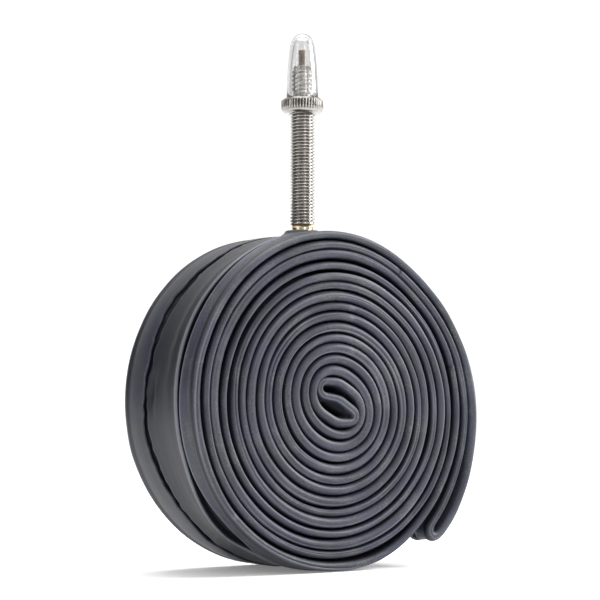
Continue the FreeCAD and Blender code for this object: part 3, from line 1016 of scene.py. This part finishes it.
    def sweep(self, name: str, stations: np.ndarray, outer: bool) -> bpy.types.Object:
        """Carries the folded tube's cross-section along the line.

        Args:
            name: the piece's name.
            stations: lengths along the line, one ring each.
            outer: gives the outside its folded margins.

        Returns:
            The piece, closed at both ends where they lie hidden between strands. A point at
            height n and width y becomes the line's place plus n times its normal, at depth y.
        """
        place, normal = self.frame_at(stations)
        half = self.thickness(stations) / 2.0
        ripple = partial(self.winding.ripple, stations)
        front = -self.width / 2.0 + 0.3 * ripple(21.0, 31) + 0.12 * ripple(7.0, 32)
        back = self.width / 2.0 + 0.3 * ripple(23.0, 33) + 0.12 * ripple(6.0, 34)
        front_edge = self.edge(half, self.edge_samples, stations, 41)
        back_edge = self.edge(half, self.back_samples, stations, 51)
        front_rows = front_edge + np.stack([0.0 * front, front, 0.0 * front], -1)[:, None, :]
        back_rows = (back_edge * [1.0, -1.0, 1.0] + np.stack([0.0 * back, back, 0.0 * back], -1)[:, None, :])[:, ::-1]
        inner_lap = np.array([0.03, 0.08, 0.15, 0.27, 0.6])[None, :]
        # painted light on the walls that lie bare to view, strongest near the front edge
        bare_wall_light = np.array([1.5, 1.5, 1.2, 0.6, 0.0])
        left_bare, right_bare = self.bared(stations)
        start, finish = front_rows[:, -1], back_rows[:, 0]
        if outer:
            skin = self.outside(stations, start[:, 1], finish[:, 1])[:, 1:-1]
            fade = self.end_fade
            calm = smoothstep(0.0, fade, stations - stations[0]) * smoothstep(0.0, fade, stations[-1] - stations)
            skin[..., 1] *= calm[:, None]
            covered = ~self.outermost(stations)
            skin[covered, :, 1] = np.minimum(skin[covered, :, 1], 0.0)
            top = np.stack([half[:, None] + skin[..., 1], skin[..., 0], skin[..., 2]], -1)
        else:
            span = start[:, 1][:, None] + (finish[:, 1] - start[:, 1])[:, None] * inner_lap
            # painted shade over the walls that lie between strands, lifted to painted light where the left-hand wall
            # is bare to view
            wall_light_and_shade = left_bare[:, None] * bare_wall_light - 1.0
            swell = self.belly(stations, half, inner_lap)
            top = np.stack([half[:, None] + swell, span, wall_light_and_shade + 0.0 * span], -1)
        span = back_rows[:, -1, 1][:, None] + (front_rows[:, 0, 1] - back_rows[:, -1, 1])[:, None] * (
            1.0 - inner_lap[:, ::-1]
        )
        swell = self.belly(stations, half, 1.0 - inner_lap[:, ::-1])
        swell = np.minimum(swell, self.belly(stations, half, inner_lap[:, ::-1]))
        # the same painted shade on the right-hand wall, lifted to painted light where it is bare to view
        wall_light_and_shade = right_bare[:, None] * 0.7 * bare_wall_light[::-1] - 1.0
        under = np.stack([-half[:, None] - swell, span, wall_light_and_shade + 0.0 * span], -1)
        section = np.concatenate([front_rows, top, back_rows, under], axis=1)
        # the third column carries the painted light and shade into the ridge attribute
        height, depth, worn = section[..., 0], section[..., 1], section[..., 2]
        east, up = (place[:, axis, None] + height * normal[:, axis, None] for axis in (0, 1))
        points = np.stack([east, depth, up], -1)
        points = self.slip(points, stations)
        points[..., 2] = self.settle(points[..., 2])
        return grid_object(
            name, points, Ends.CAPPED, {"along": (stations * MM)[:, None], "across": depth * MM, "ridge": worn}
        )

    def slip(self, points: np.ndarray, stations: np.ndarray) -> np.ndarray:
        """Turns the outer fold's far side back round the middle, so that it lies askew.

        Args:
            points: stations by columns by 3, mm.
            stations: lengths along the line.

        Returns:
            The points, turned by an angle that grows with the depth across the roll and fades with
            the distance from the fold along the tube.
        """
        winding = self.winding
        tip = winding.length[np.argmax(winding.turns)]
        share = bump_at(0.0, 16.0, stations - tip)[:, None] * smoothstep(-15.0, 10.0, points[..., 1])
        angle = math.radians(self.slip_deg) * share
        offset = points[..., [0, 2]] - np.array(winding.centre)
        turned = points.copy()
        turned[..., 0] = winding.centre[0] + offset[..., 0] * np.cos(angle) - offset[..., 1] * np.sin(angle)
        turned[..., 2] = winding.centre[1] + offset[..., 0] * np.sin(angle) + offset[..., 1] * np.cos(angle)
        return turned

    def outermost(self, stations: np.ndarray) -> np.ndarray:
        """True where the outside lies open and is not pressed against another strand."""
        winding = self.winding
        return (winding.side_at(stations) > 0.0) & (winding.turn_at(stations) > self.open_from)

    @staticmethod
    def settle(height: np.ndarray, soft: float = 0.3) -> np.ndarray:
        """Presses flat on the floor what would reach below it.

        Args:
            height: over the floor, mm.
            soft: height from which the pressing starts, mm.

        Returns:
            The height, or below the soft height a tail that falls towards 0 and never reaches it.
        """
        return np.where(height > soft, height, soft * np.exp(np.minimum(height - soft, 0.0) / soft))


# ---------------------------------------------------------------- the valve
def thread_wave(angle: np.ndarray, height: np.ndarray, pitch: float) -> np.ndarray:
    """A right-hand screw thread's ridge.

    Args:
        angle: round the axis, radians.
        height: along the axis, mm.
        pitch: mm per turn.

    Returns:
        0 at the root and 1 at the crest: a triangle wave of height less pitch times the share of a
        turn, with its tips rounded.
    """
    share = (height / pitch - angle / (2.0 * np.pi)) % 1.0
    return smoothstep(0.08, 0.8, 1.0 - np.abs(2.0 * share - 1.0))


def screw_surface(
    name: str,
    profile: list[tuple[float, float]],
    threads: list[tuple[float, float, float, float]],
    segments: int = 96,
    flats: tuple[float, float] | None = None,
) -> bpy.types.Object:
    """Turns an outline and cuts threads into its outside.

    Args:
        name: the piece's name.
        profile: closed outline of (radius, height), mm.
        threads: each (low, high, root radius, pitch), mm; the outline's radius there is the crest.
        segments: steps round the axis.
        flats: distance across two wrench flats and the height where they start, mm.

    Returns:
        The object. Outline runs inside a thread are cut into ten steps a turn, and their radius
        falls to the root between ridges, fading in over half a pitch at each end.
    """
    corners = np.array(profile + profile[:1])
    rows = []
    for first, second in zip(corners[:-1], corners[1:]):
        steps = 1
        for low, high, root, pitch in threads:
            rising = second[1] - first[1]
            if first[0] > root and second[0] > root and rising > pitch and low - 0.01 <= first[1] < high:
                steps = int(rising / pitch * 10)
        share = np.arange(steps)[:, None] / steps
        rows.append(first + (second - first) * share)
    outline = np.vstack(rows)
    angle = np.linspace(0.0, 2.0 * np.pi, segments, endpoint=False)[:, None]
    height = outline[None, :, 1]
    radius = np.broadcast_to(outline[None, :, 0], (segments, len(outline))).copy()
    groove = np.zeros_like(radius)
    for low, high, root, pitch in threads:
        inside = smoothstep(low, low + pitch / 2, height) * smoothstep(high, high - pitch / 2, height)
        sunk = np.where(radius > root + 0.01, (1.0 - thread_wave(angle, height, pitch)) * inside, 0.0)
        radius = radius - (radius - root) * sunk
        groove = np.maximum(groove, sunk)
    if flats:
        limit = flats[0] / 2.0 / np.maximum(np.abs(np.cos(angle)), 1e-6)
        radius = np.where(height > flats[1], np.minimum(radius, limit), radius)
    change = radius - outline[None, :, 0]
    return turned_surface(name, outline, segments, change, groove)


def fluted_surface(
    name: str, profile: list[tuple[float, float]], flutes: tuple[int, float], low: float, high: float
) -> bpy.types.Object:
    """Turns an outline and presses straight flutes into its rim.

    Args:
        name: the piece's name.
        profile: closed outline of (radius, height), mm.
        flutes: number round the rim, and depth of each, mm.
        low: where the flutes start, mm.
        high: where they end, mm.

    Returns:
        The object. The rim's radius dips by the depth in a rounded wave, once for each flute.
    """
    outline = np.array(profile)
    number, depth = flutes
    segments = number * 8
    phase = np.linspace(0.0, 2.0 * np.pi * number, segments, endpoint=False)[:, None]
    wave = smoothstep(-0.2, 0.9, -np.cos(phase))
    rim = (outline[:, 1] >= low - 0.001) & (outline[:, 1] <= high + 0.001)
    rim &= outline[:, 0] > outline[:, 0].max() - 0.4
    sunk = wave * rim[None, :]
    return turned_surface(name, outline, segments, -depth * sunk, sunk)


@dataclass
class Valve:
    """The long thin valve on the outer turn: boss, stem, rim nut, core, pin and cap.

    Heights are taken from the CAD nodes' boxes, so every piece sits where its solid does.

    Attributes:
        plate: the rim nut's finish.
        stem_thread: length of the stem's thread, mm.
        stem_screw: root radius and pitch of the stem's thread, mm.
        seat_rise: from the core's foot to the seat under its head, mm.
        head_screw: root radius and pitch of the core's head thread, mm.
        fine_screw: root radius and pitch of the core's thread inside the stem, mm.
        core_flats: distance across the core's wrench flats, mm.
        pin_thread: length of the pin's thread with its tip, mm.
        pin_screw: root radius and pitch of the pin's thread, mm.
        nut_flutes: number and depth in mm of the rim nut's flutes.
        lock_nut_flutes: number and depth in mm of the lock nut's flutes.
        pieces: what has been made so far.
    """

    stem_thread: float = 31.0
    stem_screw: tuple[float, float] = (2.52, 0.8)
    seat_rise: float = 16.2
    head_screw: tuple[float, float] = (2.2, 1.058)
    fine_screw: tuple[float, float] = (1.6, 0.5)
    core_flats: float = 4.5
    pin_thread: float = 7.55
    pin_screw: tuple[float, float] = (0.78, 0.4)
    nut_flutes: tuple[int, float] = (44, 0.42)
    lock_nut_flutes: tuple[int, float] = (22, 0.16)
    # the rim nut's plate is painted darker than the stem's, and its flutes are painted almost fully dark as shade
    plate: PlatedBrass = PlatedBrass("nickel_on_brass_nut", plate="#9a9692", root_shade_share=0.97)
    pieces: list[bpy.types.Object] = field(default_factory=list)

    def place(self, piece: bpy.types.Object, material: bpy.types.Material, body: str, node: str, slot: str) -> None:
        """Dresses a piece and puts it in the place of its CAD node.

        Args:
            piece: the finished piece.
            material: its finish.
            body: the body it moves with.
            node: the CAD node it stands for.
            slot: the record's material slot; not used.
        """
        piece.data.materials.append(material)
        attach(piece, body)
        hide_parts(node)
        self.pieces.append(piece)

    @staticmethod
    def span(node: str) -> tuple[float, float]:
        """Lowest and highest point of a CAD node, mm."""
        low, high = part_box(node)
        return low.z / MM, high.z / MM

    def build(self) -> list[bpy.types.Object]:
        """Makes every piece of the valve.

        Returns:
            The new pieces, in the order they were made.
        """
        for make in (
            self.boss, self.stem, self.rim_nut, self.core, self.pin, self.lock_nut, self.cap, self.inner_seals
        ):
            make()
        return self.pieces

    def boss(self) -> None:
        """Moulded rubber boss: a low cone with a rounded shoulder, its skirt run down into the tube."""
        low, top = self.span("valve_pad")
        profile = [
            (2.66, top), (2.66, low - 0.5), (5.6, low - 0.5), (5.35, low + 0.15), (5.0, low + 0.36),
            (4.62, low + 0.62), (4.42, low + 0.92), (4.3, top - 0.22), (4.2, top - 0.08), (4.04, top - 0.02),
            (3.88, top),
        ]
        piece = turned_surface("valve_boss", np.array(profile[::-1]), 96)
        rubber = ButylRubber("moulded_boss_rubber", dark="#2f3034", pale="#3d3e43", warm="#3a3935", talc_share=0.2)
        self.place(piece, rubber.make(), "tube_body", "valve_pad", "boss_rubber")

    def stem(self) -> None:
        """Rolled M6 x 0.8 thread over a plain collar, with the bore that takes the core."""
        low, top = self.span("valve_stem")
        roll = low + 0.9
        thread = top - self.stem_thread
        profile = [
            (1.3, low), (1.9, low), (1.9, roll), (3.6, roll), (3.6, roll + 0.6), (2.65, roll + 0.6),
            (2.65, thread - 0.05), (2.75, thread), (3.0, thread + 0.1), (3.0, top - 0.2), (2.8, top),
            (2.05, top), (1.93, top - 0.12), (1.93, top - 7.0), (1.75, top - 7.2), (1.75, top - 21.4),
            (1.3, top - 21.9),
        ]
        piece = screw_surface("threaded_stem", profile, [(thread + 0.1, top, *self.stem_screw)])
        plate = PlatedBrass("nickel_on_brass_stem", plate="#a8a4a0", brass="#cdbd9d", roughness=0.17,
                            brass_below_mm=thread + 0.15)
        self.place(piece, plate.make(), "tube_body", "valve_stem", "nickel_plate")

    def rim_nut(self) -> None:
        """Turned rim nut: plain lip, knurled band and bevelled skirt."""
        low, top = self.span("rim_nut")
        profile = [
            (3.05, low + 0.3), (3.35, low), (3.9, low), (4.3, low + 0.18), (4.62, low + 0.5), (4.85, low + 0.86),
            (4.9, low + 1.02), (5.1, low + 1.12), (5.2, low + 1.22), (5.2, low + 1.9), (5.2, low + 2.6),
            (5.2, low + 3.26), (5.08, low + 3.36), (4.86, low + 3.42), (4.84, low + 3.5), (4.72, top - 0.12),
            (4.5, top), (3.4, top), (3.05, top - 0.3),
        ]
        piece = fluted_surface("knurled_rim_nut", profile, self.nut_flutes, low + 1.12, low + 3.36)
        self.place(piece, self.plate.make(), "nut_body", "rim_nut", "nickel_plate_nut")

    def core(self) -> None:
        """Removable core: 5.2 mm head thread with two flats, seat, fine screw and lower tube."""
        low, top = self.span("valve_core")
        seat = low + self.seat_rise
        profile = [
            (1.06, low), (1.25, low), (1.45, low + 0.3), (1.45, low + 8.9), (1.55, low + 9.0), (1.55, low + 9.6),
            (1.2, low + 9.6), (1.2, low + 10.8), (1.6, low + 10.8), (1.6, seat - 4.5), (1.88, seat - 4.4),
            (1.88, seat), (2.6, seat + 0.05), (2.6, seat + 0.5), (2.6, top - 0.3), (2.35, top - 0.05),
            (2.1, top), (1.06, top),
        ]
        threads = [(seat + 0.5, top - 0.1, *self.head_screw), (seat - 4.4, seat, *self.fine_screw)]
        piece = screw_surface("core_body", profile, threads, flats=(self.core_flats, seat + 1.6))
        # the core's plate is painted paler than the other nickel, as the hazy light it shows through the clear cap,
        # with less painted shade in its thread roots
        plate = PlatedBrass("nickel_on_brass_core", plate="#d2cfcb", brass="#a88d5c", root_shade_share=0.35, roughness=0.2,
                            brass_below_mm=seat)
        self.place(piece, plate.make(), "core_body", "valve_core", "core_metal")

    def pin(self) -> None:
        """Threaded brass pin with a peened tip, its shank running down to the seal."""
        low, top = self.span("valve_pin")
        thread = top - self.pin_thread
        profile = [
            (0.0, low), (0.4, low), (0.6, low + 0.2), (0.6, thread - 0.3), (0.98, thread), (0.98, top - 0.72),
            (0.8, top - 0.62), (0.96, top - 0.5), (1.0, top - 0.3), (0.97, top - 0.12), (0.8, top - 0.02),
            (0.4, top), (0.0, top - 0.04),
        ]
        piece = screw_surface("valve_pin_brass", profile, [(thread, top - 0.7, *self.pin_screw)], segments=40)
        brass = PlatedBrass("oxidised_pin_brass", plate="#8a7460", worn="#6e5a49", roughness=0.34)
        self.place(piece, brass.make(), "pin_body", "valve_pin", "pin_brass")

    def lock_nut(self) -> None:
        """Small fluted nut on the pin."""
        low, top = self.span("lock_nut")
        profile = [
            (1.02, low), (1.95, low), (2.1, low + 0.08), (2.15, low + 0.18), (2.15, low + 0.55), (2.15, top - 0.26),
            (2.1, top - 0.14), (1.95, top - 0.04), (1.7, top), (1.02, top),
        ]
        piece = fluted_surface("fluted_lock_nut", profile, self.lock_nut_flutes, low + 0.08, top - 0.14)
        self.place(piece, PlatedBrass("nickel_on_brass_lock_nut", roughness=0.2).make(), "lock_nut_body", "lock_nut",
                   "core_metal")

    def cap(self) -> None:
        """Clear cap: a gently tapered shell with a rounded top and a thicker rim."""
        low, top = self.span("dust_cap")
        outside = [
            (3.78, 0.0), (3.9, 0.12), (3.9, 1.3), (3.86, 2.6), (3.8, 4.2), (3.72, 5.8), (3.62, 7.4), (3.5, 9.0),
            (3.36, 10.6), (3.2, 12.0), (3.0, 13.2), (2.68, 14.2), (2.25, 15.0), (1.7, 15.6), (1.1, 15.95),
            (0.5, 16.15), (0.0, 16.2),
        ]
        inside = [
            (0.0, 14.9), (0.5, 14.84), (1.1, 14.6), (1.6, 14.1), (2.0, 13.3), (2.25, 12.4), (2.45, 11.0),
            (2.62, 9.6), (2.78, 8.4), (2.92, 7.0), (3.0, 5.4), (3.04, 3.6), (3.08, 0.4), (3.2, 0.0),
        ]
        profile = np.array([(radius, low + rise) for radius, rise in outside + inside])
        piece = turned_surface("clear_dust_cap", profile, 96)
        self.place(piece, ClearPolystyrene().make(), "cap_body", "dust_cap", "clear_plastic")

    def inner_seals(self) -> None:
        """The gasket, the pin's seal and its collar keep their CAD shape and get their finish."""
        seal = ButylRubber("nitrile_seal", dark="#161616", pale="#222222", warm="#1d1c1a", talc_share=0.0).make()
        brass = PlatedBrass("turned_brass", plate="#b89a5e", worn="#8f7747", roughness=0.3).make()
        for node, material in (("core_gasket", seal), ("pin_seal", seal), ("pin_foot", brass)):
            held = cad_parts[node]
            held.data.materials.clear()
            held.data.materials.append(material)


# ---------------------------------------------------------------- the studio
@dataclass
class Studio:
    """Pale sweep, soft lights and the camera.

    Attributes:
        azimuth_deg: how far the camera stands round from the roll's front face.
        elevation_deg: how far above level it stands.
        distance_mm: from the camera to the target.
        sensor_mm: width of its sensor.
        lens_mm: its focal length.
        target_mm: the point it looks at.
        card_distance: of the dark cards from the object, m.
    """

    azimuth_deg: float = -35.3
    elevation_deg: float = -3.3
    distance_mm: float = 483.0
    sensor_mm: float = 36.0
    lens_mm: float = 118.2
    target_mm: tuple[float, float, float] = (-0.7, 0.0, 65.3)
    card_distance: float = 1.05

    def build(self) -> None:
        """Sets the floor, the lights and the camera."""
        self.sweep()
        self.lights()
        self.cards()
        self.camera()

    def sweep(self) -> None:
        """A floor that curves up into a wall behind: a flat run, a quarter circle and a rise."""
        width, front, back, bend, rise = 9.0, -9.0, 1.2, 0.6, 2.2
        turn = np.linspace(0.0, np.pi / 2.0, 24)
        depth = np.concatenate([[front, 0.0], back + bend * np.sin(turn), [back + bend]])
        height = np.concatenate([[0.0, 0.0], bend * (1.0 - np.cos(turn)), [rise]])
        sides = np.array([-width, width])
        count = len(depth)
        places = np.stack([np.repeat(sides, count), np.tile(depth, 2), np.tile(height, 2)], -1)
        turned = math.radians(self.azimuth_deg)
        places[:, :2] = places[:, :2] @ np.array([
            [math.cos(turned), math.sin(turned)], [-math.sin(turned), math.cos(turned)],
        ])
        low = np.arange(count - 1)
        quads = np.stack([low, low + count, low + count + 1, low + 1], -1)
        floor = new_object("pale_floor", mesh_from_arrays("pale_floor", places, [quads]))
        material, _, shader = new_material("matt_white_paper")
        shader.inputs["Base Color"].default_value = linear_colour("#f4f4f3")
        shader.inputs["Roughness"].default_value = 0.9
        shader.inputs["Emission Color"].default_value = linear_colour("#ffffff")
        shader.inputs["Emission Strength"].default_value = 0.17
        floor.data.materials.append(material)

    def soft_box(self, name: str, at: tuple[float, float, float], size: tuple[float, float], power: float) -> None:
        """Adds an oblong soft light that faces the object.

        Args:
            name: the light's name.
            at: its place, m.
            size: its width and height, m.
            power: in watts.
        """
        light = bpy.data.lights.new(name, "AREA")
        light.shape = "RECTANGLE"
        light.size, light.size_y = size
        light.energy = power
        lamp = bpy.data.objects.new(name, light)
        lamp.location = at
        facing = Vector((0.0, 0.0, 0.06)) - Vector(at)
        lamp.rotation_euler = facing.to_track_quat("-Z", "Y").to_euler()
        bpy.context.scene.collection.objects.link(lamp)

    def lights(self) -> None:
        """A key from the right and above, narrow lights left and in front, a top light and a pale sky."""
        for name, at, size, power in (
            ("key_right", (0.95, -0.45, 0.6), (0.4, 0.7), 18.0),
            ("strip_left", (-1.0, -0.1, 0.35), (0.1, 0.8), 1.3),
            ("strip_front", (-0.13, -1.0, 0.4), (0.16, 0.8), 2.4),
            ("top", (0.1, 0.15, 1.0), (0.7, 0.7), 10.0),
        ):
            self.soft_box(name, at, size, power)
        world = bpy.data.worlds.new("pale_surround")
        world.use_nodes = True
        background = world.node_tree.nodes["Background"]
        background.inputs["Color"].default_value = linear_colour("#ffffff")
        background.inputs["Strength"].default_value = 0.72
        bpy.context.scene.world = world

    def cards(self) -> None:
        """Dark cards, out of the camera's sight, that give the metal its dark streaks."""
        material, _, shader = new_material("black_card")
        shader.inputs["Base Color"].default_value = linear_colour("#101010")
        shader.inputs["Roughness"].default_value = 0.8
        for name, bearing, width in (
            ("card_right", 74.0, 0.36),
            ("card_front", -15.0, 0.24),
            ("card_left", -100.0, 0.95),
            ("card_back", 152.0, 0.3),
        ):
            way = math.radians(self.azimuth_deg + bearing)
            across = np.array([math.cos(way), math.sin(way), 0.0])
            middle = np.array([math.sin(way), -math.cos(way), 0.0]) * self.card_distance
            corners = np.array([
                middle + side * width / 2.0 * across + np.array([0.0, 0.0, height])
                for side, height in ((-1.0, 0.02), (1.0, 0.02), (1.0, 1.0), (-1.0, 1.0))
            ])
            card = new_object(name, mesh_from_arrays(name, corners, [np.array([[0, 1, 2, 3]])]))
            card.data.materials.append(material)
            card.visible_camera = False

    def camera(self) -> None:
        """A long lens at the front left, looking a little upwards."""
        turned, raised = math.radians(self.azimuth_deg), math.radians(self.elevation_deg)
        away = Vector((
            math.sin(turned) * math.cos(raised), -math.cos(turned) * math.cos(raised), math.sin(raised),
        ))
        target = Vector(self.target_mm) * MM
        lens = bpy.data.cameras.new("long_lens")
        lens.sensor_width = self.sensor_mm
        lens.lens = self.lens_mm
        lens.clip_start = 0.01
        camera = bpy.data.objects.new("camera", lens)
        camera.location = target + away * self.distance_mm * MM
        camera.rotation_euler = (-away).to_track_quat("-Z", "Y").to_euler()
        bpy.context.scene.collection.objects.link(camera)
        bpy.context.scene.camera = camera


def main() -> None:
    """Builds the tube, the valve and the studio."""
    logging.basicConfig(level=logging.INFO, format="%(name)s: %(message)s")
    bpy.context.scene.view_settings.view_transform = "Standard"
    for piece in [*RolledTube(Winding()).build(), *Valve().build()]:
        log.info("%s: %d faces", piece.name, len(piece.data.polygons))
    Studio().build()


if __name__ == "__main__":
    main()
